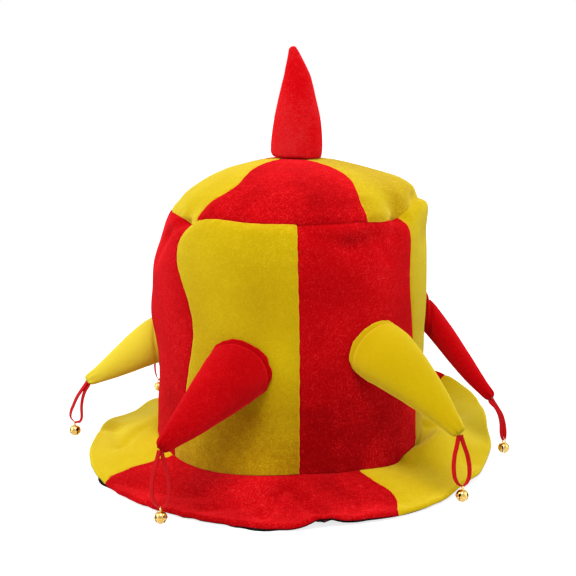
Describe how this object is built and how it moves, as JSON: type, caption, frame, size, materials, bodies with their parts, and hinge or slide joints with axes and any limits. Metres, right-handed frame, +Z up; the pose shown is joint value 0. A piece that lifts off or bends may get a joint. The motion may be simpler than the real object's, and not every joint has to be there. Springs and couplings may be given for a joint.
{
  "type": "clown hat",
  "caption": "Plush clown hat in red and yellow velour: tall panelled crown, low dome, wavy brim faced in black, stuffed horns and jingle bells on ribbon loops.",
  "frame": {"origin": "on the floor under the middle of the hat's box, without its ribbons and bells", "axes": "+Z up through the crown, -Y towards the hat's front, +X to the right of a viewer in front"},
  "size_m": [0.3185, 0.3119, 0.291],
  "materials": {
    "velour_red": "short-pile plush velour",
    "velour_yellow": "short-pile plush velour",
    "facing_black": "plain woven cloth",
    "satin_red": "narrow satin ribbon",
    "bell_gold": "polished gold plating"
  },
  "bodies": {
    "root": {"crown_panel_front_left": "velour_yellow", "crown_panel_front_right": "velour_red", "crown_panel_right": "velour_yellow", "crown_panel_back_right": "velour_red", "crown_panel_back_left": "velour_yellow", "crown_panel_left": "velour_red", "top_gore_front": "velour_red", "top_gore_right": "velour_yellow", "top_gore_back": "velour_red", "top_gore_left": "velour_yellow", "brim_segment_front": "velour_red", "brim_segment_right": "velour_yellow", "brim_segment_back": "velour_red", "brim_segment_left": "velour_yellow", "brim_facing": "facing_black", "top_horn": "velour_red", "horn_front_left": "velour_red", "horn_front_right": "velour_yellow", "horn_right": "velour_red", "horn_back_right": "velour_yellow", "horn_back_left": "velour_red", "horn_left": "velour_yellow", "ribbon_front_left": "satin_red", "ribbon_front_right": "satin_red", "ribbon_right": "satin_red", "ribbon_back_right": "satin_red", "ribbon_back_left": "satin_red", "ribbon_left": "satin_red", "bell_front_left": "bell_gold", "bell_front_right": "bell_gold", "bell_right": "bell_gold", "bell_back_right": "bell_gold", "bell_back_left": "bell_gold", "bell_left": "bell_gold"}
  },
  "joints": []
}
